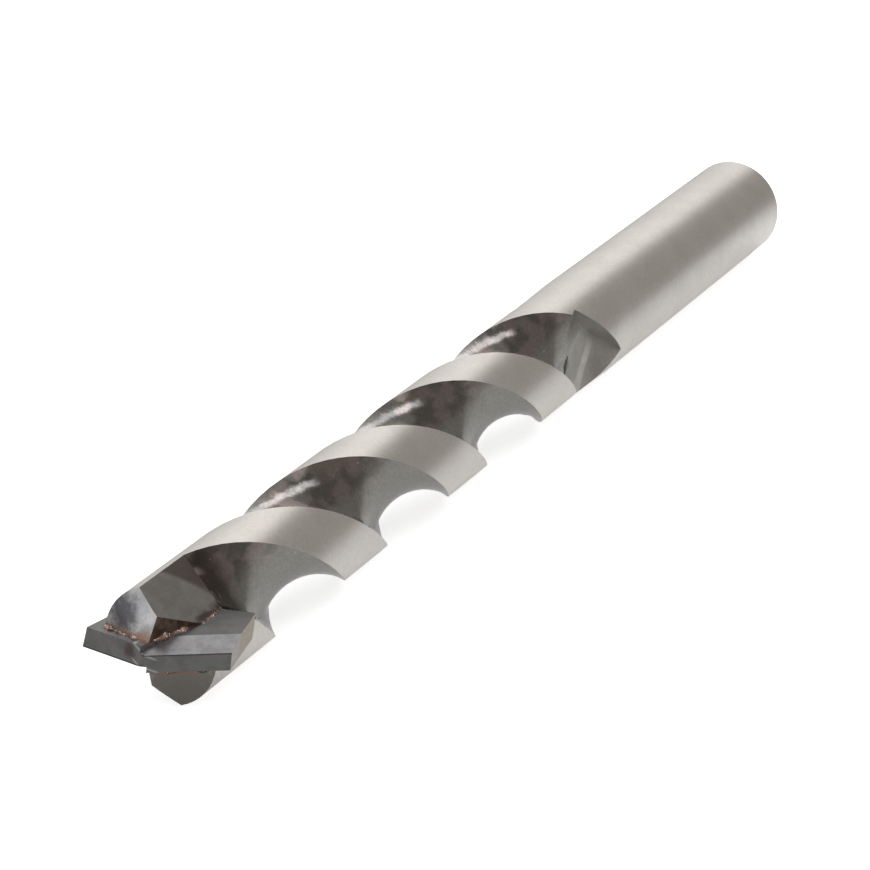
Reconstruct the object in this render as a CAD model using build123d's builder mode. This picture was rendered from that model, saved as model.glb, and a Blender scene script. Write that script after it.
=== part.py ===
"""Masonry drill bit: a round bar with two helical flutes, a straight-fluted head and a brazed carbide tip.

Everything is drawn upright first, along +Z, with the shank end at z = 0 and the point at the top.
The finished pieces are then laid down: the axis runs along Y, the point looks along -Y, +Z is up, and
the origin is the centre of the shank's end face. The carbide plate lies level, across X.
"""

from build123d import *
from math import acos, asin, atan2, cos, degrees, hypot, pi, radians, sin, tan
import os

os.makedirs("parts", exist_ok=True)

# Overall sizes, in millimetres
overall_length = 150.0
body_diameter = 12.3
cutting_diameter = 16.3
shank_chamfer = 0.3

# The lands are ground a little below the shank, and a short taper leads down to them
land_relief = 0.16
land_taper_length = 6.0

# Helical flutes: two starts, right-hand, angles in degrees. Their length runs from the point back to
# the middle of the wheel's print.
flute_lead = 47.7
flute_span_angle = 109.2
flute_length = 90.5
leading_wall_depth = 2.45
leading_wall_lean = 3.0
flute_root_radius = 0.7

# Run-out of each flute, the print of a grinding wheel: its tilt from the cross-section, its turn from
# the floor's normal, and the distance from its middle back to the full shank.
wheel_radius = 9.0
wheel_margin = 0.4
wheel_tilt = 44.0
wheel_turn = 10.0
wheel_to_shank = 8.0

# Head: the straight-fluted length behind the point
head_length = 9.4
rim_setback = 3.4
steel_cone_angle = 130.0
heel_flat_angle = 45.0
heel_flat_distance = 3.05
flute_start_slope = 13.0

# Gash that thins the web in front of the plate: lean from the axis, and how far past the axis it reaches
gash_lean = 28.0
gash_offset = -0.65

# Carbide plate
plate_thickness = 2.7
plate_height = 10.0
point_angle = 142.0
relief_angle = 14.0
side_taper_angle = 13.0
side_clearance_angle = 15.0
rake_facet_height = 2.6
rake_facet_angle = 16.4

# Brazed joint between the plate and its slot
braze_gap = 0.15

body_radius = body_diameter / 2
land_radius = body_radius - land_relief
cutting_radius = cutting_diameter / 2
rake_height = plate_thickness / 2
slot_width = plate_thickness + 2 * braze_gap
slot_bottom = overall_length - plate_height - braze_gap
head_start = overall_length - head_length
wheel_station = overall_length - flute_length
shank_length = wheel_station - wheel_to_shank
twist_per_mm = 360.0 / flute_lead
rake_rim_angle = degrees(asin(rake_height / body_radius))
edge_slope = 90.0 - point_angle / 2
reach = 3 * body_radius
helix_angle = degrees(atan2(pi * body_diameter, flute_lead))
flute_chord = body_diameter * sin(radians(flute_span_angle / 2))
wheel_width = flute_chord * cos(radians(helix_angle)) + 2 * wheel_margin


def polar(radius, angle):
    """The point at this radius and angle in a cross-section."""
    return (radius * cos(radians(angle)), radius * sin(radians(angle)))


def leading_angle(station):
    """The angle of a land's leading edge at this distance from the shank end."""
    return rake_rim_angle + (station - head_start) * twist_per_mm


# Cross-section of a flute: a wall under the leading edge and a straight floor that runs out at the heel
section_angle = leading_angle(wheel_station)
leading_edge = polar(body_radius, 0)
heel_edge = polar(body_radius, flute_span_angle)
wall_foot = polar(body_radius - leading_wall_depth, leading_wall_lean)
floor_x, floor_y = heel_edge[0] - wall_foot[0], heel_edge[1] - wall_foot[1]
floor_depth = (wall_foot[0] * heel_edge[1] - wall_foot[1] * heel_edge[0]) / hypot(floor_x, floor_y)
floor_lag = degrees(atan2(floor_y, floor_x)) - 90.0
with BuildSketch(Plane.XY.offset(wheel_station).rotated((0, 0, section_angle))) as flute_section:
    with BuildLine():
        Polyline(
            leading_edge,
            polar(reach, 0),
            polar(reach, flute_span_angle / 2),
            polar(reach, flute_span_angle),
            heel_edge,
            wall_foot,
            close=True,
        )
    make_face()
    fillet(flute_section.vertices().sort_by_distance(wall_foot)[0], flute_root_radius)

# The twisted prism of one flute, from the run-out to past the point
twisted_length = overall_length - wheel_station
twisted_flute = Solid.extrude_linear_with_rotation(
    flute_section.sketch.face(),
    center=(0, 0, wheel_station),
    normal=(0, 0, twisted_length),
    angle=twisted_length * twist_per_mm,
)

# A flute starts behind the head at a sloping plane, from the heel's rim forward to the leading edge
heel_rim_angle = heel_flat_angle + degrees(acos(heel_flat_distance / body_radius))
heel_station = head_start + (heel_rim_angle - flute_span_angle - rake_rim_angle) / twist_per_mm
heel_point = (*polar(body_radius, heel_rim_angle), heel_station)
start_normal = (*polar(tan(radians(flute_start_slope)), heel_flat_angle + 90.0), 1)
start_plane = Plane(heel_point, z_dir=start_normal)

# The wheel stands across the flute's floor, where the twisted prism ends
wheel_angle = section_angle + floor_lag + wheel_turn
wheel_centre = (*polar(floor_depth + wheel_radius, wheel_angle), wheel_station)
tangent_x, tangent_y = polar(1, wheel_angle + 90.0)
wheel_axis = (
    tangent_x * cos(radians(wheel_tilt)),
    tangent_y * cos(radians(wheel_tilt)),
    -sin(radians(wheel_tilt)),
)
wheel_plane = Plane(origin=wheel_centre, x_dir=(*polar(1, wheel_angle), 0), z_dir=wheel_axis)

with BuildPart() as flute_tool:
    add(twisted_flute)
    split(bisect_by=start_plane, keep=Keep.BOTTOM)

with BuildPart() as wheel_tool:
    with BuildSketch(wheel_plane):
        Circle(wheel_radius)
    extrude(amount=wheel_width / 2, both=True)

# Straight flute of the head: the heel flat of one land and the rake plane of the other
flat_x, flat_y = polar(1, heel_flat_angle)
corner = ((heel_flat_distance - rake_height * flat_y) / flat_x, rake_height)
far_heel = (corner[0] - reach * flat_y, corner[1] + reach * flat_x)
with BuildPart() as head_flute_tool:
    with BuildSketch(Plane.XY.offset(heel_station)):
        with BuildLine():
            Polyline(corner, (reach, rake_height), (reach, reach), far_heel, close=True)
        make_face()
    extrude(amount=reach)

# Cutting edge: where the ground facet on the rake side meets the relief
edge_height = rake_height - rake_facet_height * tan(radians(rake_facet_angle))
edge_start = overall_length + edge_height * tan(radians(relief_angle))
edge_x, edge_z = cos(radians(edge_slope)), -sin(radians(edge_slope))
gash_station = edge_start - gash_offset * tan(radians(edge_slope))
gash_run = (corner[0] + body_radius - gash_offset) / tan(radians(gash_lean))
gash_side = gash_run * tan(radians(gash_lean))
gash_top = reach * tan(radians(gash_lean))
with BuildPart() as gash_tool:
    with BuildSketch(Plane.XZ.offset(-rake_height)):
        with BuildLine():
            Polyline(
                (gash_offset - gash_top, gash_station + reach),
                (gash_offset + gash_side, gash_station - gash_run),
                (gash_offset + gash_side, gash_station + reach),
                close=True,
            )
        make_face()
    extrude(amount=-reach)

# The steel before its slot is cut: bar, cone, flutes, run-outs, head flutes and gashes
cone_height = land_radius / tan(radians(steel_cone_angle / 2))
rim_station = overall_length - rim_setback
with BuildPart() as fluted_blank:
    with BuildSketch(Plane.XZ):
        with BuildLine():
            Polyline(
                (0, 0),
                (body_radius - shank_chamfer, 0),
                (body_radius, shank_chamfer),
                (body_radius, shank_length),
                (land_radius, shank_length + land_taper_length),
                (land_radius, rim_station),
                (0, rim_station + cone_height),
                close=True,
            )
        make_face()
    revolve(axis=Axis.Z)
    with PolarLocations(0, 2):
        add(flute_tool.part, mode=Mode.SUBTRACT)
        add(wheel_tool.part, mode=Mode.SUBTRACT)
        add(head_flute_tool.part, mode=Mode.SUBTRACT)
        add(gash_tool.part, mode=Mode.SUBTRACT)

with BuildPart() as slot_tool:
    with BuildSketch(Plane.XY.offset(slot_bottom)):
        Rectangle(2 * reach, slot_width)
    extrude(amount=reach)

with BuildPart() as upright_body:
    add(fluted_blank.part)
    add(slot_tool.part, mode=Mode.SUBTRACT)

# Carbide plate: a roof-shaped plate with tapered sides, two relief faces and two ground rake facets
plate_foot = overall_length - plate_height
corner_station = edge_start - cutting_radius * tan(radians(edge_slope))
relief_slope = tan(radians(relief_angle))
roof_slope = tan(radians(edge_slope))
facet_slope = tan(radians(rake_facet_angle))
side_slope = tan(radians(side_clearance_angle))
taper_slope = tan(radians(side_taper_angle))
facet_lean = tan(radians(gash_lean + edge_slope))
facet_plane = Plane(
    origin=(0, edge_height, edge_start),
    x_dir=(edge_x, 0, edge_z),
    z_dir=(-facet_slope * edge_z, 1, facet_slope * edge_x),
)
with BuildPart() as facet_tool:
    with BuildSketch(facet_plane):
        with BuildLine():
            Polyline(
                (gash_offset - body_radius * facet_lean, -body_radius),
                (gash_offset + body_radius * facet_lean, body_radius),
                (reach, body_radius),
                (reach, -body_radius),
                close=True,
            )
        make_face()
    extrude(amount=body_radius)

with BuildPart() as upright_tip:
    with Locations((0, 0, plate_foot)):
        Box(cutting_diameter, plate_thickness, plate_height, align=(Align.CENTER, Align.CENTER, Align.MIN))
    for side in (1, -1):
        edge_point = (0, side * edge_height, edge_start)
        edge_corner = (side * cutting_radius, side * edge_height, corner_station)
        relief_normal = (side * roof_slope, -side * relief_slope, 1)
        flank_normal = (side, -side * side_slope, -taper_slope)
        split(bisect_by=Plane(edge_point, z_dir=relief_normal), keep=Keep.BOTTOM)
        split(bisect_by=Plane(edge_corner, z_dir=flank_normal), keep=Keep.BOTTOM)
    with PolarLocations(0, 2):
        add(facet_tool.part, mode=Mode.SUBTRACT)

# Braze: what fills the slot round the plate, flush with the steel
with BuildPart() as upright_braze:
    add(fluted_blank.part)
    add(slot_tool.part, mode=Mode.INTERSECT)
    add(upright_tip.part, mode=Mode.SUBTRACT)
    with PolarLocations(0, 2):
        add(facet_tool.part, mode=Mode.SUBTRACT)

# Laid down: the upright +Z turns to -Y, and the upright +Y to +Z
with BuildPart(Plane.XZ) as drill_body:
    add(upright_body.part)
drill_body.part.label = "drill_body"
export_step(drill_body.part, "parts/drill_body.step")

with BuildPart(Plane.XZ) as carbide_tip:
    add(upright_tip.part)
carbide_tip.part.label = "carbide_tip"
export_step(carbide_tip.part, "parts/carbide_tip.step")

with BuildPart(Plane.XZ) as braze_seam:
    add(upright_braze.part)
braze_seam.part.label = "braze_seam"
export_step(braze_seam.part, "parts/braze_seam.step")
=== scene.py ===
"""Masonry drill bit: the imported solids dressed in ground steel, dark flutes, carbide and braze."""
import logging
import math
from dataclasses import dataclass, field, replace
from enum import Enum
from typing import Protocol

import bmesh
import bpy
from mathutils import Matrix, Vector


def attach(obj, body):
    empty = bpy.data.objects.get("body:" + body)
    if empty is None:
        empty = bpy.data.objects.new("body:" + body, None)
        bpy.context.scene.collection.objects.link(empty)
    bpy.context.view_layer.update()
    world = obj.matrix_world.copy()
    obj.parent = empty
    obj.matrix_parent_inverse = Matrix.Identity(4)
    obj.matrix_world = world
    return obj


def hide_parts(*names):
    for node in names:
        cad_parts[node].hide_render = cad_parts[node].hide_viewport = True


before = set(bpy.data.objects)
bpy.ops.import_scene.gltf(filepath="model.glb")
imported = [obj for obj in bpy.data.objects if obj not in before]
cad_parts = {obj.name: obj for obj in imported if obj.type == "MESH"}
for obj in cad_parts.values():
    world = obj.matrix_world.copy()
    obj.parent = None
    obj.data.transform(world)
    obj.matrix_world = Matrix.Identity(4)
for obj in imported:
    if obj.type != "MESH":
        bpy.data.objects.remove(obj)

log = logging.getLogger("masonry_bit")

Socket = bpy.types.NodeSocket
Colour = tuple[float, float, float]
Place = tuple[float, float, float]
Range = tuple[float, float]

MM = 0.001
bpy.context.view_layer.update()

# A mark grows from nothing at its border to full at this share of its radius or width
SOFT_EDGE = 0.3

# Offsets that give each noise a pattern of its own
ROUGH_SHIFT, SPOT_SHIFT, SPECK_SHIFT = 1.0, 2.0, 3.0
END_SHIFT, TURN_SHIFT, SEAM_SHIFT = 4.0, 5.0, 7.0

# Vertices closer than this are one
WELD = 0.0005 * MM

# The backdrop's colour to the camera
WHITE = (1.0, 1.0, 1.0, 1.0)


class Zone(Enum):
    """The regions of the steel body that were finished in different ways."""

    LAND = 0
    FLUTE = 1
    RUNOUT = 2
    HEAD_FLAT = 3
    FRONT = 4
    GASH = 5


class PlateZone(Enum):
    """The regions of the carbide plate that were finished in different ways."""

    FLAT = 0
    FACET = 1
    SIDE = 2
    RELIEF = 3


class Grain(Enum):
    """How a surface's fine marks are stretched, as noise scales per metre."""

    ROUND_THE_AXIS = (2200.0, 8000.0, 2200.0)
    ALONG_THE_AXIS = (5200.0, 700.0, 5200.0)
    EVEN = (3200.0, 3200.0, 3200.0)


class Nodes:
    """A small helper that adds and links nodes in one node tree."""

    def __init__(self, tree: bpy.types.NodeTree) -> None:
        """Keeps the tree and empties it.

        Args:
            tree: the node tree to fill.
        """
        self.tree = tree
        tree.nodes.clear()

    def add(self, kind: str, **settings: object) -> bpy.types.Node:
        """Adds a node and sets its own properties.

        Args:
            kind: the node's bl_idname.
            settings: attributes of the node.

        Returns:
            The new node.
        """
        node = self.tree.nodes.new(kind)
        for name, value in settings.items():
            setattr(node, name, value)
        return node

    def link(self, source: Socket, target: Socket) -> None:
        """Links two sockets."""
        self.tree.links.new(source, target)

    def feed(self, socket: Socket, value: object) -> None:
        """Sets a socket to a value, or links it where the value is a socket.

        Args:
            socket: the input socket.
            value: a number, a colour or an output socket.
        """
        if isinstance(value, Socket):
            self.link(value, socket)
        else:
            socket.default_value = value

    def math(self, operation: str, first: object, second: object = 0.0) -> Socket:
        """Adds a Math node.

        Args:
            operation: the node's operation.
            first: the first value or socket.
            second: the second value or socket.

        Returns:
            The result socket.
        """
        node = self.add("ShaderNodeMath", operation=operation)
        self.feed(node.inputs[0], first)
        self.feed(node.inputs[1], second)
        return node.outputs[0]

    def mix(self, factor: object, first: object, second: object) -> Socket:
        """Mixes two colours.

        Args:
            factor: a number or socket from 0 to 1.
            first: the colour at 0.
            second: the colour at 1.

        Returns:
            The colour socket.
        """
        node = self.add("ShaderNodeMix", data_type="RGBA")
        for index, value in ((0, factor), (6, first), (7, second)):
            self.feed(node.inputs[index], value)
        return node.outputs[2]

    def band(self, value: object, start: float, end: float) -> Socket:
        """Rises smoothly from 0 at start to 1 at end.

        Args:
            value: the number or socket that is read.
            start: where the result is 0.
            end: where the result is 1.

        Returns:
            The result socket.
        """
        node = self.add("ShaderNodeMapRange", interpolation_type="SMOOTHSTEP")
        for index, number in enumerate((value, start, end, 0.0, 1.0)):
            self.feed(node.inputs[index], number)
        return node.outputs[0]

    def noise(self, scales: Place, detail: float, shift: float = 0.0) -> Socket:
        """Adds a noise on Object coordinates.

        Args:
            scales: how fast the noise changes along X, Y and Z, per metre.
            detail: the noise's detail.
            shift: an offset that gives another pattern.

        Returns:
            The noise's value socket.
        """
        where = self.add("ShaderNodeTexCoord")
        mapping = self.add("ShaderNodeMapping")
        mapping.inputs["Scale"].default_value = scales
        mapping.inputs["Location"].default_value = (shift, shift, shift)
        self.link(where.outputs["Object"], mapping.inputs["Vector"])
        node = self.add("ShaderNodeTexNoise")
        node.inputs["Scale"].default_value = 1.0
        node.inputs["Detail"].default_value = detail
        self.link(mapping.outputs["Vector"], node.inputs["Vector"])
        return node.outputs[0]

    def seeded_noise(self, seed: Socket, scale: float, detail: float) -> Socket:
        """Adds a noise on the points' places that changes with a seed.

        Args:
            seed: the seed's socket.
            scale: how fast the noise changes, per metre.
            detail: the noise's detail.

        Returns:
            The noise's value socket.
        """
        node = self.add("ShaderNodeTexNoise", noise_dimensions="4D")
        node.inputs["Scale"].default_value = scale
        node.inputs["Detail"].default_value = detail
        self.link(seed, node.inputs["W"])
        return node.outputs[0]

    def centred(self, value: Socket, width: object) -> Socket:
        """Turns a noise from 0 to 1 into an offset round zero.

        Args:
            value: the noise's value.
            width: the offset's full range.

        Returns:
            The offset socket.
        """
        return self.math("MULTIPLY", self.math("SUBTRACT", value, 0.5), width)

    def position(self) -> tuple[Socket, Socket, Socket]:
        """Reads the Object coordinates.

        Returns:
            The sockets of X, Y and Z, in metres.
        """
        where = self.add("ShaderNodeTexCoord")
        parts = self.add("ShaderNodeSeparateXYZ")
        self.link(where.outputs["Object"], parts.inputs[0])
        return parts.outputs[0], parts.outputs[1], parts.outputs[2]

    def lay(self, mask: Socket, amount: float, under: Socket, paint: Colour) -> Socket:
        """Lays a plain colour over another where a mask is high.

        Args:
            mask: the mask, from 0 to 1.
            amount: how much of the colour covers at the mask's 1.
            under: the colour below.
            paint: the colour that is laid.

        Returns:
            The colour socket.
        """
        return self.mix(self.math("MULTIPLY", mask, amount), under, (*paint, 1.0))

    def mirrored(self, path: bpy.types.Node) -> Socket:
        """Gives 1 to a ray that comes off a glossy surface or through a clear one, and 0 to others."""
        return self.math("MAXIMUM", path.outputs["Is Glossy Ray"], path.outputs["Is Transmission Ray"])


class Mark(Protocol):
    """A coloured mark on a surface that knows where it lies."""

    def paint(self, nodes: Nodes, colour: Socket) -> Socket:
        """Lays the mark over a colour and returns the result."""


@dataclass(frozen=True)
class SeamStain:
    """A ragged discoloured band on both sides of the plate, left by the brazing heat."""

    colour: Colour
    full: float
    gone: float
    amount: float
    ragged: float = 0.9 * MM
    scale: float = 900.0
    detail: float = 3.0

    def paint(self, nodes: Nodes, colour: Socket) -> Socket:
        """Lays the stain over a colour.

        Args:
            nodes: the material's nodes.
            colour: the colour below.

        Returns:
            The stained colour.
        """
        across = nodes.math("ABSOLUTE", nodes.position()[2])
        noise = nodes.noise((self.scale,) * 3, self.detail, SEAM_SHIFT)
        edge = nodes.math("ADD", across, nodes.centred(noise, 2 * self.ragged))
        return nodes.lay(nodes.band(edge, self.gone, self.full), self.amount, colour, self.colour)


@dataclass(frozen=True)
class Spot:
    """A round mark at one place of the cross-section."""

    colour: Colour
    x: float
    z: float
    radius: float
    amount: float
    scale: float = 1500.0
    detail: float = 3.0

    def paint(self, nodes: Nodes, colour: Socket) -> Socket:
        """Lays the spot over a colour.

        Args:
            nodes: the material's nodes.
            colour: the colour below.

        Returns:
            The marked colour.
        """
        x, _, z = nodes.position()
        across = nodes.math("POWER", nodes.math("SUBTRACT", x, self.x), 2.0)
        upward = nodes.math("POWER", nodes.math("SUBTRACT", z, self.z), 2.0)
        distance = nodes.math("SQRT", nodes.math("ADD", across, upward))
        noise = nodes.noise((self.scale,) * 3, self.detail, SPOT_SHIFT)
        ragged = nodes.math("ADD", distance, nodes.centred(noise, self.radius))
        mask = nodes.band(ragged, self.radius, SOFT_EDGE * self.radius)
        return nodes.lay(mask, self.amount, colour, self.colour)


@dataclass(frozen=True)
class CrossLine:
    """A thin line across the axis and its twin on the other half, at a distance from the centre."""

    colour: Colour
    slope_x: float
    slope_z: float
    distance: float
    width: float
    amount: float
    reach: float
    fade: float = 0.7

    def paint(self, nodes: Nodes, colour: Socket) -> Socket:
        """Lays the line over a colour.

        Args:
            nodes: the material's nodes.
            colour: the colour below.

        Returns:
            The marked colour.
        """
        x, _, z = nodes.position()
        part_x = nodes.math("MULTIPLY", x, self.slope_x)
        part_z = nodes.math("MULTIPLY", z, self.slope_z)
        along = nodes.math("ABSOLUTE", nodes.math("ADD", part_x, part_z))
        offset = nodes.math("ABSOLUTE", nodes.math("SUBTRACT", along, self.distance))
        near = nodes.band(offset, self.width, SOFT_EDGE * self.width)
        within = nodes.band(nodes.math("ABSOLUTE", x), self.reach, self.fade * self.reach)
        return nodes.lay(nodes.math("MULTIPLY", near, within), self.amount, colour, self.colour)


@dataclass(frozen=True)
class EdgeLine:
    """A thin line beside each half's cutting edge, at a height that changes sign with the side."""

    colour: Colour
    height: float
    width: float
    amount: float

    def paint(self, nodes: Nodes, colour: Socket) -> Socket:
        """Lays the line over a colour.

        Args:
            nodes: the material's nodes.
            colour: the colour below.

        Returns:
            The marked colour.
        """
        x, _, z = nodes.position()
        height = nodes.math("MULTIPLY", z, nodes.math("SIGN", x))
        offset = nodes.math("ABSOLUTE", nodes.math("SUBTRACT", height, self.height))
        mask = nodes.band(offset, self.width, SOFT_EDGE * self.width)
        return nodes.lay(mask, self.amount, colour, self.colour)


@dataclass(frozen=True)
class EndTint:
    """A tint that begins at one distance from the shank's end and is full at another."""

    colour: Colour
    begin: float
    full: float
    amount: float
    ragged: float = 1.2 * MM
    scale: float = 700.0
    detail: float = 2.0

    def paint(self, nodes: Nodes, colour: Socket) -> Socket:
        """Lays the tint over a colour.

        Args:
            nodes: the material's nodes.
            colour: the colour below.

        Returns:
            The tinted colour.
        """
        station = nodes.math("MULTIPLY", nodes.position()[1], -1.0)
        noise = nodes.noise((self.scale,) * 3, self.detail, END_SHIFT)
        ragged = nodes.math("ADD", station, nodes.centred(noise, self.ragged))
        return nodes.lay(nodes.band(ragged, self.begin, self.full), self.amount, colour, self.colour)


@dataclass(frozen=True)
class TurnTint:
    """A tint on two opposite sides of the bar, set by the angle about the axis."""

    colour: Colour
    angle: float
    begin: float
    full: float
    amount: float
    ragged: float = 0.5
    scale: float = 260.0
    detail: float = 3.0
    least_square: float = 1e-9

    def paint(self, nodes: Nodes, colour: Socket) -> Socket:
        """Lays the tint over a colour.

        Args:
            nodes: the material's nodes.
            colour: the colour below.

        Returns:
            The tinted colour.
        """
        x, _, z = nodes.position()
        lean = math.radians(self.angle)
        part_x = nodes.math("MULTIPLY", x, math.cos(lean))
        part_z = nodes.math("MULTIPLY", z, math.sin(lean))
        facing = nodes.math("POWER", nodes.math("ABSOLUTE", nodes.math("ADD", part_x, part_z)), 2.0)
        radius = nodes.math("ADD", nodes.math("MULTIPLY", x, x), nodes.math("MULTIPLY", z, z))
        share = nodes.math("DIVIDE", facing, nodes.math("MAXIMUM", radius, self.least_square))
        noise = nodes.noise((self.scale,) * 3, self.detail, TURN_SHIFT)
        ragged = nodes.math("ADD", share, nodes.centred(noise, self.ragged))
        return nodes.lay(nodes.band(ragged, self.begin, self.full), self.amount, colour, self.colour)


@dataclass(frozen=True)
class FluteShade:
    """The dark of the flutes that runs onto the flats of the head up to a curved line."""

    colour: Colour
    middle_station: float = 138.5 * MM
    far_side: float = 4.0 * MM
    curve: float = 50.0
    soft: float = 0.5 * MM
    amount: float = 0.85

    def paint(self, nodes: Nodes, colour: Socket) -> Socket:
        """Lays the dark over a colour.

        Args:
            nodes: the material's nodes.
            colour: the colour below.

        Returns:
            The darkened colour.
        """
        x, y, z = nodes.position()
        across = nodes.math("MULTIPLY", nodes.math("SUBTRACT", x, z), math.sqrt(0.5))
        side = nodes.math("SIGN", nodes.math("ADD", x, z))
        from_far = nodes.math("SUBTRACT", self.far_side, nodes.math("MULTIPLY", across, side))
        bend = nodes.math("MULTIPLY", nodes.math("MULTIPLY", from_far, from_far), self.curve)
        line = nodes.math("ADD", bend, self.middle_station)
        past = nodes.math("SUBTRACT", line, nodes.math("MULTIPLY", y, -1.0))
        return nodes.lay(nodes.band(past, -self.soft, self.soft), self.amount, colour, self.colour)


@dataclass(frozen=True)
class MetalFinish:
    """One metal surface: its two colours, roughness, fine grain and marks.

    The grain's depth is in millimetres. Specks show where their noise is above the value of speck.
    """

    name: str
    colour: Colour
    second: Colour
    roughness: float
    spread: float
    grain: Grain
    grain_depth: float
    grain_tone: float = 0.08
    patch_scale: float = 260.0
    patch_contrast: float = 0.12
    speck: float = 0.0
    marks: tuple[Mark, ...] = ()
    grain_detail: float = 2.0
    grain_swing: float = 4.0
    patch_detail: float = 4.0
    rough_finer: float = 2.5
    rough_detail: float = 3.0
    speck_colour: Colour = (0.75, 0.74, 0.72)
    speck_scale: float = 4200.0
    speck_detail: float = 1.0
    speck_edge: float = 0.02

    def tone(self, nodes: Nodes, grain: Socket) -> Socket:
        """Mixes the surface's colours, marks and specks, and shades them with the grain.

        Args:
            nodes: the material's nodes.
            grain: the grain's noise.

        Returns:
            The colour socket.
        """
        patches = nodes.noise((self.patch_scale,) * 3, self.patch_detail)
        patch = nodes.band(patches, 0.5 - self.patch_contrast, 0.5 + self.patch_contrast)
        colour = nodes.mix(patch, (*self.colour, 1.0), (*self.second, 1.0))
        for mark in self.marks:
            colour = mark.paint(nodes, colour)
        if self.speck:
            noise = nodes.noise((self.speck_scale,) * 3, self.speck_detail, SPECK_SHIFT)
            dots = nodes.band(noise, self.speck, self.speck + self.speck_edge)
            colour = nodes.mix(dots, colour, (*self.speck_colour, 1.0))
        level = nodes.math("ADD", nodes.centred(grain, self.grain_swing * self.grain_tone), 1.0)
        tone = nodes.add("ShaderNodeVectorMath", operation="SCALE")
        nodes.link(colour, tone.inputs[0])
        nodes.link(level, tone.inputs["Scale"])
        return tone.outputs[0]

    def material(self) -> bpy.types.Material:
        """Builds the material.

        Returns:
            The new node material.
        """
        material = bpy.data.materials.new(self.name)
        material.use_nodes = True
        nodes = Nodes(material.node_tree)
        output = nodes.add("ShaderNodeOutputMaterial")
        shader = nodes.add("ShaderNodeBsdfPrincipled")
        nodes.link(shader.outputs[0], output.inputs[0])
        shader.inputs["Metallic"].default_value = 1.0
        grain = nodes.noise(self.grain.value, self.grain_detail)
        nodes.link(self.tone(nodes, grain), shader.inputs["Base Color"])
        rough = nodes.noise((self.patch_scale * self.rough_finer,) * 3, self.rough_detail, ROUGH_SHIFT)
        roughness = nodes.math("ADD", nodes.centred(rough, 2 * self.spread), self.roughness)
        nodes.link(roughness, shader.inputs["Roughness"])
        bump = nodes.add("ShaderNodeBump")
        bump.inputs["Strength"].default_value = 1.0
        bump.inputs["Distance"].default_value = self.grain_depth * MM
        nodes.link(grain, bump.inputs["Height"])
        nodes.link(bump.outputs[0], shader.inputs["Normal"])
        return material


LAND_STEEL = MetalFinish(
    name="ground_land_steel",
    colour=(0.640, 0.610, 0.570),
    second=(0.61, 0.58, 0.54),
    roughness=0.32,
    spread=0.05,
    grain=Grain.ROUND_THE_AXIS,
    grain_depth=0.0012,
    grain_tone=0.10,
)
FLUTE_STEEL = MetalFinish(
    name="dark_flute_steel",
    colour=(0.235, 0.200, 0.182),
    second=(0.142, 0.132, 0.120),
    roughness=0.11,
    spread=0.06,
    grain=Grain.EVEN,
    grain_depth=0.005,
    grain_tone=0.14,
    patch_scale=420.0,
    patch_contrast=0.09,
    speck=0.80,
    marks=(
        TurnTint(colour=(0.265, 0.26, 0.24), angle=5.0, begin=0.30, full=0.75, amount=0.85),
        # Painted shade: the flutes' steel darkens towards their start at the head
        EndTint(colour=(0.06, 0.05, 0.045), begin=135.6 * MM, full=137.6 * MM, amount=0.88),
    ),
)
RUNOUT_STEEL = MetalFinish(
    name="runout_steel",
    colour=(0.43, 0.42, 0.395),
    second=(0.38, 0.37, 0.345),
    roughness=0.38,
    spread=0.08,
    grain=Grain.EVEN,
    grain_depth=0.002,
    patch_scale=300.0,
    patch_contrast=0.08,
)
HEAD_STEEL = MetalFinish(
    name="head_flat_steel",
    colour=(0.31, 0.30, 0.275),
    second=(0.26, 0.25, 0.23),
    roughness=0.40,
    spread=0.08,
    grain=Grain.ALONG_THE_AXIS,
    grain_depth=0.002,
    grain_tone=0.07,
    patch_scale=500.0,
    patch_contrast=0.14,
    marks=(
        FluteShade(colour=(0.13, 0.105, 0.095)),
        SeamStain(colour=(0.045, 0.022, 0.014), full=1.5 * MM, gone=2.2 * MM, amount=0.7),
    ),
)
FRONT_STEEL = MetalFinish(
    name="front_steel",
    colour=(0.50, 0.50, 0.515),
    second=(0.40, 0.40, 0.41),
    roughness=0.24,
    spread=0.08,
    grain=Grain.EVEN,
    grain_depth=0.002,
    grain_tone=0.05,
    patch_scale=420.0,
    patch_contrast=0.14,
    marks=(
        Spot(colour=(0.115, 0.112, 0.125), x=-3.3 * MM, z=3.5 * MM, radius=2.5 * MM, amount=0.92),
        Spot(colour=(0.180, 0.170, 0.152), x=2.2 * MM, z=-3.9 * MM, radius=8.5 * MM, amount=0.96),
        SeamStain(
            colour=(0.27, 0.155, 0.115), full=1.5 * MM, gone=2.3 * MM, amount=0.85, ragged=0.7 * MM
        ),
    ),
)
GASH_STEEL = MetalFinish(
    name="brazed_gash_steel",
    colour=(0.115, 0.073, 0.055),
    second=(0.21, 0.15, 0.12),
    roughness=0.45,
    spread=0.10,
    grain=Grain.EVEN,
    grain_depth=0.006,
    grain_tone=0.12,
    patch_scale=1100.0,
    patch_contrast=0.10,
)
CARBIDE = MetalFinish(
    name="sintered_carbide",
    colour=(0.135, 0.14, 0.135),
    second=(0.165, 0.16, 0.16),
    roughness=0.46,
    spread=0.08,
    grain=Grain.EVEN,
    grain_depth=0.003,
    grain_tone=0.06,
    patch_scale=700.0,
    patch_contrast=0.14,
    marks=(
        Spot(colour=(0.085, 0.045, 0.05), x=-1.6 * MM, z=0.55 * MM, radius=1.0 * MM, amount=0.7),
        CrossLine(
            colour=(0.42, 0.42, 0.43),
            slope_x=0.48,
            slope_z=0.877,
            distance=0.672 * MM,
            width=0.16 * MM,
            amount=0.8,
            reach=1.5 * MM,
        ),
        EdgeLine(colour=(0.05, 0.05, 0.055), height=0.53 * MM, width=0.13 * MM, amount=0.8),
    ),
)
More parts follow.
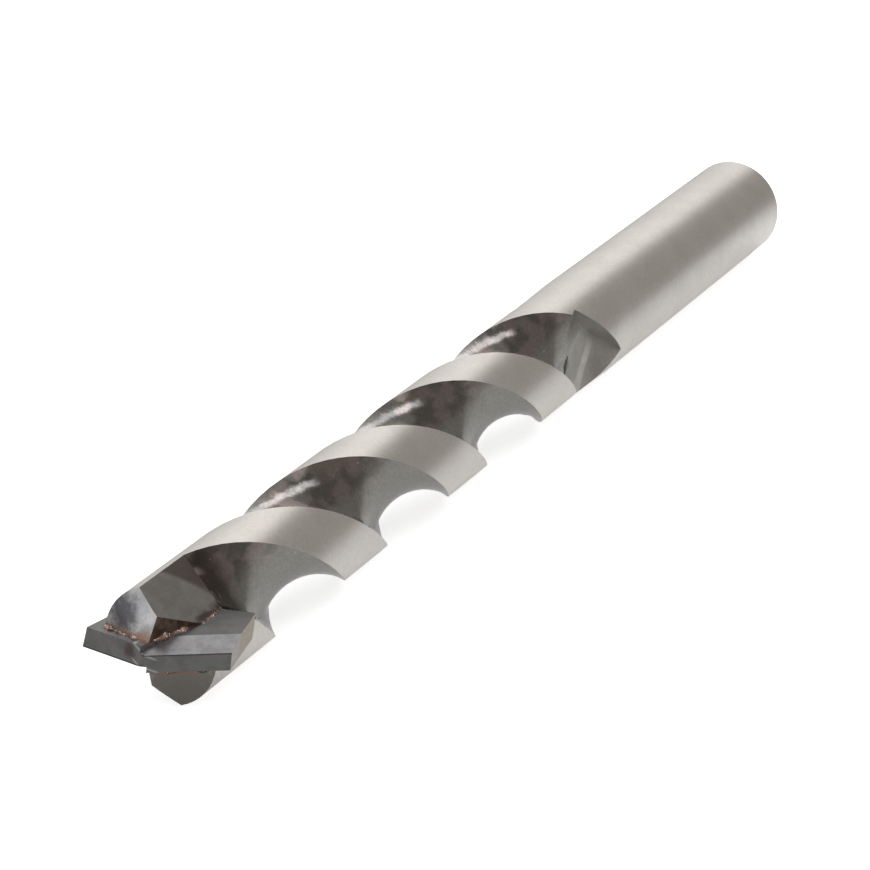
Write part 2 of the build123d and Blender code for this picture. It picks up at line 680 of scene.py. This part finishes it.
CARBIDE_RELIEF = replace(
    CARBIDE, name="relief_carbide", colour=(0.158, 0.164, 0.156), second=(0.193, 0.188, 0.185)
)
CARBIDE_GROUND = MetalFinish(
    name="ground_carbide",
    colour=(0.235, 0.232, 0.235),
    second=(0.185, 0.18, 0.185),
    roughness=0.32,
    spread=0.10,
    grain=Grain.EVEN,
    grain_depth=0.003,
    patch_scale=1000.0,
    patch_contrast=0.18,
)
CARBIDE_SIDE = MetalFinish(
    name="stained_carbide",
    colour=(0.36, 0.33, 0.33),
    second=(0.29, 0.265, 0.265),
    roughness=0.40,
    spread=0.08,
    grain=Grain.EVEN,
    grain_depth=0.003,
    grain_tone=0.06,
    patch_scale=700.0,
    patch_contrast=0.14,
    marks=(EndTint(colour=(0.31, 0.255, 0.185), begin=145.4 * MM, full=144.2 * MM, amount=0.85),),
)
BRAZE = MetalFinish(
    name="oxidised_braze",
    colour=(0.085, 0.050, 0.037),
    second=(0.27, 0.165, 0.125),
    roughness=0.46,
    spread=0.14,
    grain=Grain.EVEN,
    grain_depth=0.012,
    grain_tone=0.16,
    patch_scale=1000.0,
    patch_contrast=0.14,
    speck=0.64,
    marks=(
        SeamStain(
            colour=(0.42, 0.30, 0.27), full=1.2 * MM, gone=1.75 * MM, amount=0.3, ragged=1.2 * MM
        ),
    ),
)


def smooth_copy(node: bpy.types.Object, name: str, crease: float) -> bpy.types.Object:
    """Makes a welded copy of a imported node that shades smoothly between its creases.

    Args:
        node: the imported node's object.
        name: the new piece's name.
        crease: the angle between faces, in degrees, above which an edge stays sharp.

    Returns:
        The new object, at the origin.
    """
    mesh = bpy.data.meshes.new(name)
    work = bmesh.new()
    work.from_mesh(node.data)
    work.transform(node.matrix_world)
    bmesh.ops.remove_doubles(work, verts=work.verts, dist=WELD)
    bmesh.ops.dissolve_degenerate(work, dist=WELD, edges=work.edges)
    for face in work.faces:
        face.smooth = True
    for edge in work.edges:
        edge.smooth = len(edge.link_faces) == 2 and edge.calc_face_angle(0.0) < math.radians(crease)
    work.to_mesh(mesh)
    work.free()
    piece = bpy.data.objects.new(name, mesh)
    bpy.context.scene.collection.objects.link(piece)
    return piece


def crease_borders(piece: bpy.types.Object) -> None:
    """Keeps the edges between faces of different materials sharp.

    Args:
        piece: the object whose faces have their materials.
    """
    sides: dict[tuple[int, int], set[int]] = {}
    for face in piece.data.polygons:
        for key in face.edge_keys:
            sides.setdefault(key, set()).add(face.material_index)
    for edge in piece.data.edges:
        if len(sides[edge.key]) > 1:
            edge.use_edge_sharp = True


def half_turn(place: Place, side: float) -> Vector:
    """Gives a place as it is, or for a side of -1 its twin on the other half of the bit."""
    return Vector((side * place[0], place[1], side * place[2]))


@dataclass
class SteelBody:
    """The bar: shank, fluted length and head, with a finish for each region.

    The facing fields are the least or greatest parts of a face's normal that tell the regions apart.
    """

    land_radius: float = 5.95 * MM
    head_start: float = -138.2 * MM
    front_start: float = -145.5 * MM
    wheel_radius: float = 9.0 * MM
    wheel_width: float = 8.591 * MM
    wheel_hub: Place = (-11.700 * MM, -59.5 * MM, 0.792 * MM)
    wheel_axle: Place = (-0.04859, 0.69466, -0.71770)
    shank_end: float = -45.0 * MM
    gash_lean: float = 28.0
    crease: float = 13.0
    land_facing: float = 0.98
    front_facing: float = 0.5
    flat_facing: float = 0.03
    end_facing: float = 0.9
    rim_facing: float = 0.1
    side_facing: float = 0.98
    gash_slack: float = 0.05
    print_slack: float = 0.03 * MM
    finishes: dict[Zone, MetalFinish] = field(
        default_factory=lambda: {
            Zone.LAND: LAND_STEEL,
            Zone.FLUTE: FLUTE_STEEL,
            Zone.RUNOUT: RUNOUT_STEEL,
            Zone.HEAD_FLAT: HEAD_STEEL,
            Zone.FRONT: FRONT_STEEL,
            Zone.GASH: GASH_STEEL,
        }
    )

    def zone_of(self, centre: Vector, normal: Vector, rim: float) -> Zone:
        """Names the region that a face belongs to.

        Args:
            centre: the face's centre.
            normal: the face's normal.
            rim: the smallest radius of its corners.

        Returns:
            The region.
        """
        lean = math.radians(self.gash_lean)
        gash_x, gash_y = math.cos(lean), -math.sin(lean)
        in_head = centre.y < self.head_start
        if in_head and abs(normal.z) < self.gash_slack:
            off_x, off_y = abs(abs(normal.x) - gash_x), abs(normal.y - gash_y)
            if max(off_x, off_y) < self.gash_slack:
                return Zone.GASH
        from_axis = max(math.hypot(centre.x, centre.z), MM)
        outward = (centre.x * normal.x + centre.z * normal.z) / from_axis
        if (rim > self.land_radius and outward > self.land_facing) or centre.y > self.shank_end:
            return Zone.LAND
        if centre.y < self.front_start and normal.y < -self.front_facing:
            return Zone.FRONT
        if in_head and abs(normal.y) < self.flat_facing:
            return Zone.HEAD_FLAT
        if normal.y < -self.end_facing or self.in_print(centre, normal):
            return Zone.RUNOUT
        return Zone.FLUTE

    def in_print(self, centre: Vector, normal: Vector) -> bool:
        """Tells whether a face was cut by one of the two wheels that end the flutes.

        Args:
            centre: the face's centre.
            normal: the face's normal.

        Returns:
            True for a face of a wheel's print.
        """
        for side in (1.0, -1.0):
            axle = half_turn(self.wheel_axle, side)
            arm = centre - half_turn(self.wheel_hub, side)
            along = arm.dot(axle)
            radius = (arm - along * axle).length
            facing = abs(normal.dot(axle))
            on_rim = abs(radius - self.wheel_radius) < self.print_slack and facing < self.rim_facing
            beside = abs(abs(along) - self.wheel_width / 2) < self.print_slack
            if on_rim or (beside and facing > self.side_facing):
                return True
        return False

    def soften_prism_ends(self, mesh: bpy.types.Mesh) -> None:
        """Lets the sliver at the end of each flute shade with its neighbours.

        Args:
            mesh: the bar's mesh, whose borders are sharp.
        """
        slivers = [
            face
            for face in mesh.polygons
            if face.normal.y < -self.end_facing and face.center.y > self.head_start
        ]
        around = {key for face in slivers for key in face.edge_keys}
        for edge in mesh.edges:
            if edge.key in around:
                edge.use_edge_sharp = False

    def build(self) -> bpy.types.Object:
        """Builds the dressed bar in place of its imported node.

        Returns:
            The new piece.
        """
        piece = smooth_copy(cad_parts["drill_body"], "steel_bar", self.crease)
        for zone in Zone:
            piece.data.materials.append(self.finishes[zone].material())
        for face in piece.data.polygons:
            corners = [piece.data.vertices[i].co for i in face.vertices]
            rim = min(math.hypot(c.x, c.z) for c in corners)
            face.material_index = self.zone_of(face.center, face.normal, rim).value
        crease_borders(piece)
        self.soften_prism_ends(piece.data)
        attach(piece, "root")
        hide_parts("drill_body")
        return piece


@dataclass
class CarbidePlate:
    """The hard plate in the slot across the head."""

    crease: float = 8.0
    flat_facing: float = 0.985
    facet_facing: float = 0.8
    side_facing: float = 0.8
    relief_facing: float = 0.7
    finishes: dict[PlateZone, MetalFinish] = field(
        default_factory=lambda: {
            PlateZone.FLAT: CARBIDE,
            PlateZone.FACET: CARBIDE_GROUND,
            PlateZone.SIDE: CARBIDE_SIDE,
            PlateZone.RELIEF: CARBIDE_RELIEF,
        }
    )

    def zone_of(self, normal: Vector) -> PlateZone:
        """Names the region that a face belongs to.

        Args:
            normal: the face's normal.

        Returns:
            The region.
        """
        if self.facet_facing < abs(normal.z) < self.flat_facing:
            return PlateZone.FACET
        if abs(normal.x) > self.side_facing:
            return PlateZone.SIDE
        if normal.y < -self.relief_facing:
            return PlateZone.RELIEF
        return PlateZone.FLAT

    def build(self) -> bpy.types.Object:
        """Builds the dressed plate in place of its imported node.

        Returns:
            The new piece.
        """
        piece = smooth_copy(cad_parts["carbide_tip"], "carbide_plate", self.crease)
        for zone in PlateZone:
            piece.data.materials.append(self.finishes[zone].material())
        for face in piece.data.polygons:
            face.material_index = self.zone_of(face.normal).value
        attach(piece, "root")
        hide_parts("carbide_tip")
        return piece


@dataclass
class BrazeSeam:
    """The braze between the plate and the walls of its slot."""

    crease: float = 20.0

    def build(self) -> bpy.types.Object:
        """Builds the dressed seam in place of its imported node.

        Returns:
            The new piece.
        """
        piece = smooth_copy(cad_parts["braze_seam"], "braze_layer", self.crease)
        piece.data.materials.append(BRAZE.material())
        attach(piece, "root")
        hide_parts("braze_seam")
        return piece


@dataclass
class BrazeFillet:
    """The rough bead of braze that stands along the seams on both halves of the head."""

    radius: float = 0.33 * MM
    raggedness: float = 0.50 * MM
    step: float = 0.16 * MM
    seed: float = 11.0
    plate_half: float = 1.26 * MM
    proud: float = 0.1 * MM
    gash_corner: Range = (2.98 * MM, 143.4 * MM)
    ring_points: int = 10
    swell_scale: float = 500.0
    swell_detail: float = 3.0
    swell_edge: Range = (0.38, 0.62)
    swell_gain: float = 1.3
    swell_least: float = 0.35
    end_taper: float = 12.0
    rough_scale: float = 1100.0
    rough_detail: float = 4.0

    def paths(self) -> list[list[Vector]]:
        """Lays out the seams that carry a bead.

        The points are written as x, height and distance from the shank's end.

        Returns:
            The paths on one half and their twins on the other half, in metres.
        """
        z = self.plate_half
        corner_x, corner_s = self.gash_corner
        gash = [(0.25 * MM, z, 148.5 * MM), (corner_x, z, corner_s), (corner_x, z, 140.3 * MM)]
        front = [
            (-0.7 * MM, z + self.proud, 148.55 * MM),
            (-3.0 * MM, z + self.proud, 147.75 * MM),
            (-5.75 * MM, z + self.proud, 146.65 * MM),
            (-5.95 * MM, z, 144.5 * MM),
            (-5.95 * MM, z, 141.6 * MM),
        ]
        half = [[(x, -s, height) for x, height, s in path] for path in (gash, front)]
        return [[half_turn(place, side) for place in path] for side in (1.0, -1.0) for path in half]

    def tree(self) -> bpy.types.NodeTree:
        """Builds the node tree that turns each path into a ragged bead.

        Returns:
            The geometry node tree.
        """
        tree = bpy.data.node_groups.new("braze_bead", "GeometryNodeTree")
        face = tree.interface
        face.new_socket("Geometry", in_out="INPUT", socket_type="NodeSocketGeometry")
        for name in ("Step", "Bead radius", "Raggedness", "Seed"):
            face.new_socket(name, in_out="INPUT", socket_type="NodeSocketFloat")
        face.new_socket("Braze", in_out="INPUT", socket_type="NodeSocketMaterial")
        face.new_socket("Geometry", in_out="OUTPUT", socket_type="NodeSocketGeometry")
        nodes = Nodes(tree)
        given = nodes.add("NodeGroupInput").outputs
        resample = nodes.add("GeometryNodeResampleCurve", mode="LENGTH")
        nodes.link(given["Geometry"], resample.inputs["Curve"])
        nodes.link(given["Step"], resample.inputs["Length"])
        width = nodes.seeded_noise(given["Seed"], self.swell_scale, self.swell_detail)
        along = nodes.add("GeometryNodeSplineParameter").outputs["Factor"]
        ends = nodes.math("MULTIPLY", nodes.math("SUBTRACT", 1.0, along), along)
        taper = nodes.math("MINIMUM", nodes.math("MULTIPLY", ends, self.end_taper), 1.0)
        swell = nodes.math("MULTIPLY", nodes.band(width, *self.swell_edge), self.swell_gain)
        swell = nodes.math("ADD", swell, self.swell_least)
        size = nodes.math("MULTIPLY", nodes.math("MULTIPLY", swell, taper), given["Bead radius"])
        ring = nodes.add("GeometryNodeCurvePrimitiveCircle", mode="RADIUS")
        ring.inputs["Resolution"].default_value = self.ring_points
        ring.inputs["Radius"].default_value = 1.0
        sweep = nodes.add("GeometryNodeCurveToMesh")
        sweep.inputs["Fill Caps"].default_value = True
        nodes.link(resample.outputs[0], sweep.inputs["Curve"])
        nodes.link(ring.outputs[0], sweep.inputs["Profile Curve"])
        nodes.link(size, sweep.inputs["Scale"])
        rough = nodes.seeded_noise(given["Seed"], self.rough_scale, self.rough_detail)
        outward = nodes.add("ShaderNodeVectorMath", operation="SCALE")
        nodes.link(nodes.add("GeometryNodeInputNormal").outputs[0], outward.inputs[0])
        nodes.link(nodes.centred(rough, given["Raggedness"]), outward.inputs["Scale"])
        move = nodes.add("GeometryNodeSetPosition")
        nodes.link(sweep.outputs[0], move.inputs["Geometry"])
        nodes.link(outward.outputs[0], move.inputs["Offset"])
        smooth = nodes.add("GeometryNodeSetShadeSmooth")
        nodes.link(move.outputs[0], smooth.inputs["Geometry"])
        real = nodes.add("GeometryNodeRealizeInstances")
        nodes.link(smooth.outputs[0], real.inputs[0])
        paint = nodes.add("GeometryNodeSetMaterial")
        nodes.link(real.outputs[0], paint.inputs["Geometry"])
        nodes.link(given["Braze"], paint.inputs["Material"])
        nodes.link(paint.outputs[0], nodes.add("NodeGroupOutput").inputs[0])
        return tree

    def build(self) -> bpy.types.Object:
        """Sweeps the bead along its paths and keeps the result as a plain mesh.

        Returns:
            The new piece.
        """
        curve = bpy.data.curves.new("braze_paths", "CURVE")
        curve.dimensions = "3D"
        for path in self.paths():
            spline = curve.splines.new("POLY")
            spline.points.add(len(path) - 1)
            for point, place in zip(spline.points, path):
                point.co = (*place, 1.0)
        guide = bpy.data.objects.new("braze_paths", curve)
        bpy.context.scene.collection.objects.link(guide)
        tree = self.tree()
        modifier = guide.modifiers.new("bead", "NODES")
        modifier.node_group = tree
        values = {
            "Step": self.step,
            "Bead radius": self.radius,
            "Raggedness": self.raggedness,
            "Seed": self.seed,
            "Braze": BRAZE.material(),
        }
        for item in tree.interface.items_tree:
            if item.in_out == "INPUT" and item.name in values:
                modifier[item.identifier] = values[item.name]
        seen = guide.evaluated_get(bpy.context.evaluated_depsgraph_get())
        mesh = bpy.data.meshes.new_from_object(seen)
        piece = bpy.data.objects.new("braze_fillet", mesh)
        bpy.context.scene.collection.objects.link(piece)
        bpy.data.objects.remove(guide)
        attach(piece, "root")
        return piece


@dataclass(frozen=True)
class SoftLamp:
    """A square soft lamp that looks at a place."""

    name: str
    place: Place
    power: float
    size: float = 0.6

    def hang(self, aim: Place) -> None:
        """Adds the lamp to the scene.

        Args:
            aim: the place that it looks at, in metres.
        """
        data = bpy.data.lights.new(self.name, "AREA")
        data.shape = "SQUARE"
        data.size = self.size
        data.energy = self.power
        lamp = bpy.data.objects.new(self.name, data)
        lamp.location = self.place
        towards = Vector(aim) - Vector(self.place)
        lamp.rotation_euler = towards.to_track_quat("-Z", "Y").to_euler()
        bpy.context.scene.collection.objects.link(lamp)


@dataclass
class Studio:
    """The pale floor, the soft lamps, the surroundings and the camera.

    Each pair of box, ceiling, strip and fade numbers is where that part begins and where it is full.
    """

    floor_level: float = -6.15 * MM
    floor_half: float = 3.0
    floor_roughness: float = 0.9
    near_paper: Colour = (0.82, 0.82, 0.82)
    far_paper: Colour = (0.40, 0.385, 0.37)
    paper_front: float = -130.0 * MM
    paper_fade: Range = (0.008, 0.055)
    near_glow: float = 0.66
    far_glow: float = 0.15
    under_glow: float = 0.27
    under_fade: Range = (0.022, 0.002)
    room_colour: Colour = (0.37, 0.355, 0.34)
    box_colour: Colour = (1.23, 1.22, 1.20)
    low_box_colour: Colour = (0.77, 0.77, 0.76)
    box_edge: Range = (0.185, -0.10)
    box_height: Range = (0.25, 0.46)
    ceiling_colour: Colour = (0.74, 0.75, 0.75)
    ceiling_height: Range = (0.76, 0.86)
    ceiling_edge: Range = (0.50, 0.26)
    strip_colour: Colour = (3.3, 3.45, 3.7)
    strip_middle: float = 0.11
    strip_width: Range = (0.12, 0.05)
    strip_end: Range = (0.78, 0.58)
    room_light: float = 0.9
    lamps: tuple[SoftLamp, ...] = (
        SoftLamp("key_lamp", (-0.7, 0.1, 0.5), 1.0),
        SoftLamp("fill_lamp", (0.4, -0.5, 0.6), 0.8),
    )
    lamp_aim: Place = (0.0, -0.075, 0.0)
    camera_place: Place = (0.1546433, -0.3800079, 0.1165321)
    camera_right: Place = (0.8940377, 0.4392113, -0.0882610)
    camera_up: Place = (-0.0726615, 0.3365714, 0.9388504)
    lens: float = 134.614
    sensor: float = 36.0
    clip: Range = (0.01, 20.0)

    def floor_glow(self, nodes: Nodes, away: Socket, far: Socket) -> Socket:
        """Gives the floor's own light: white to the camera, and near the drill a glow in reflections.

        Args:
            nodes: the floor material's nodes.
            away: the distance from the drill.
            far: 0 near the drill and 1 away from it.

        Returns:
            The strength socket.
        """
        path = nodes.add("ShaderNodeLightPath")
        to_camera = nodes.math("ADD", nodes.math("MULTIPLY", far, self.far_glow), self.near_glow)
        to_camera = nodes.math("MULTIPLY", path.outputs["Is Camera Ray"], to_camera)
        under = nodes.math("MULTIPLY", nodes.band(away, *self.under_fade), self.under_glow)
        return nodes.math("ADD", to_camera, nodes.math("MULTIPLY", nodes.mirrored(path), under))

    def floor(self) -> None:
        """Lays the floor: white to the camera, and in the steel greyer away from the drill."""
        mesh = bpy.data.meshes.new("studio_floor")
        half = self.floor_half
        corners = [(-half, -half), (half, -half), (half, half), (-half, half)]
        mesh.from_pydata([(x, y, self.floor_level) for x, y in corners], [], [(0, 1, 2, 3)])
        floor = bpy.data.objects.new("studio_floor", mesh)
        bpy.context.scene.collection.objects.link(floor)
        material = bpy.data.materials.new("floor_paper")
        material.use_nodes = True
        nodes = Nodes(material.node_tree)
        output = nodes.add("ShaderNodeOutputMaterial")
        x, y, _ = nodes.position()
        ahead = nodes.math("MAXIMUM", nodes.math("SUBTRACT", self.paper_front, y), 0.0)
        x_square, ahead_square = nodes.math("MULTIPLY", x, x), nodes.math("MULTIPLY", ahead, ahead)
        away = nodes.math("SQRT", nodes.math("ADD", x_square, ahead_square))
        far = nodes.band(away, *self.paper_fade)
        paper = nodes.mix(far, (*self.near_paper, 1.0), (*self.far_paper, 1.0))
        shader = nodes.add("ShaderNodeBsdfPrincipled")
        nodes.link(paper, shader.inputs["Base Color"])
        shader.inputs["Roughness"].default_value = self.floor_roughness
        shader.inputs["Specular IOR Level"].default_value = 0.0
        glow = nodes.add("ShaderNodeEmission")
        nodes.link(self.floor_glow(nodes, away, far), glow.inputs["Strength"])
        total = nodes.add("ShaderNodeAddShader")
        nodes.link(shader.outputs[0], total.inputs[0])
        nodes.link(glow.outputs[0], total.inputs[1])
        nodes.link(total.outputs[0], output.inputs[0])
        mesh.materials.append(material)

    def room(self, nodes: Nodes) -> Socket:
        """Gives what the steel mirrors from each direction.

        It is a dim room with a soft box on the left that is weaker low down, a pale stretch of
        ceiling and a narrow bright strip between them.

        Args:
            nodes: the world's nodes.

        Returns:
            The colour socket.
        """
        where = nodes.add("ShaderNodeTexCoord")
        heading = nodes.add("ShaderNodeSeparateXYZ")
        nodes.link(where.outputs["Generated"], heading.inputs[0])
        x, y, z = heading.outputs[0], heading.outputs[1], heading.outputs[2]
        height = nodes.band(z, *self.box_height)
        box = nodes.mix(height, (*self.low_box_colour, 1.0), (*self.box_colour, 1.0))
        above, inward = nodes.band(z, *self.ceiling_height), nodes.band(x, *self.ceiling_edge)
        ceiling = nodes.math("MULTIPLY", above, inward)
        off_middle = nodes.math("ABSOLUTE", nodes.math("SUBTRACT", y, self.strip_middle))
        high_strip = nodes.math("MULTIPLY", nodes.band(off_middle, *self.strip_width), height)
        strip = nodes.math("MULTIPLY", high_strip, nodes.band(x, *self.strip_end))
        room = nodes.mix(ceiling, (*self.room_colour, 1.0), (*self.ceiling_colour, 1.0))
        room = nodes.mix(nodes.band(x, *self.box_edge), room, box)
        return nodes.mix(strip, room, (*self.strip_colour, 1.0))

    def world(self) -> None:
        """Makes the surroundings: white to the camera, plain soft light, the room in reflections."""
        world = bpy.data.worlds.new("studio_world")
        bpy.context.scene.world = world
        world.use_nodes = True
        nodes = Nodes(world.node_tree)
        output = nodes.add("ShaderNodeOutputWorld")
        path = nodes.add("ShaderNodeLightPath")
        light = nodes.mix(nodes.mirrored(path), (*(self.room_light,) * 3, 1.0), self.room(nodes))
        shown = nodes.mix(path.outputs["Is Camera Ray"], light, WHITE)
        background = nodes.add("ShaderNodeBackground")
        nodes.link(shown, background.inputs["Color"])
        background.inputs["Strength"].default_value = 1.0
        nodes.link(background.outputs[0], output.inputs[0])

    def camera(self) -> None:
        """Puts the camera where the photo's was."""
        data = bpy.data.cameras.new("photo_camera")
        data.lens = self.lens
        data.sensor_width = self.sensor
        data.clip_start, data.clip_end = self.clip
        camera = bpy.data.objects.new("photo_camera", data)
        right, up = Vector(self.camera_right), Vector(self.camera_up)
        turn = Matrix((right, up, right.cross(up))).transposed()
        camera.matrix_world = Matrix.Translation(Vector(self.camera_place)) @ turn.to_4x4()
        bpy.context.scene.collection.objects.link(camera)
        bpy.context.scene.camera = camera

    def build(self) -> None:
        """Sets up the whole studio."""
        self.floor()
        self.world()
        for lamp in self.lamps:
            lamp.hang(self.lamp_aim)
        self.camera()
        bpy.context.scene.view_settings.view_transform = "Standard"


def main() -> None:
    """Builds every piece in order and reports each one."""
    logging.basicConfig(level=logging.INFO, format="%(name)s: %(message)s")
    for part in (SteelBody(), CarbidePlate(), BrazeSeam(), BrazeFillet()):
        piece = part.build()
        log.info("%s with %d faces", piece.name, len(piece.data.polygons))
    Studio().build()


if __name__ == "__main__":
    main()
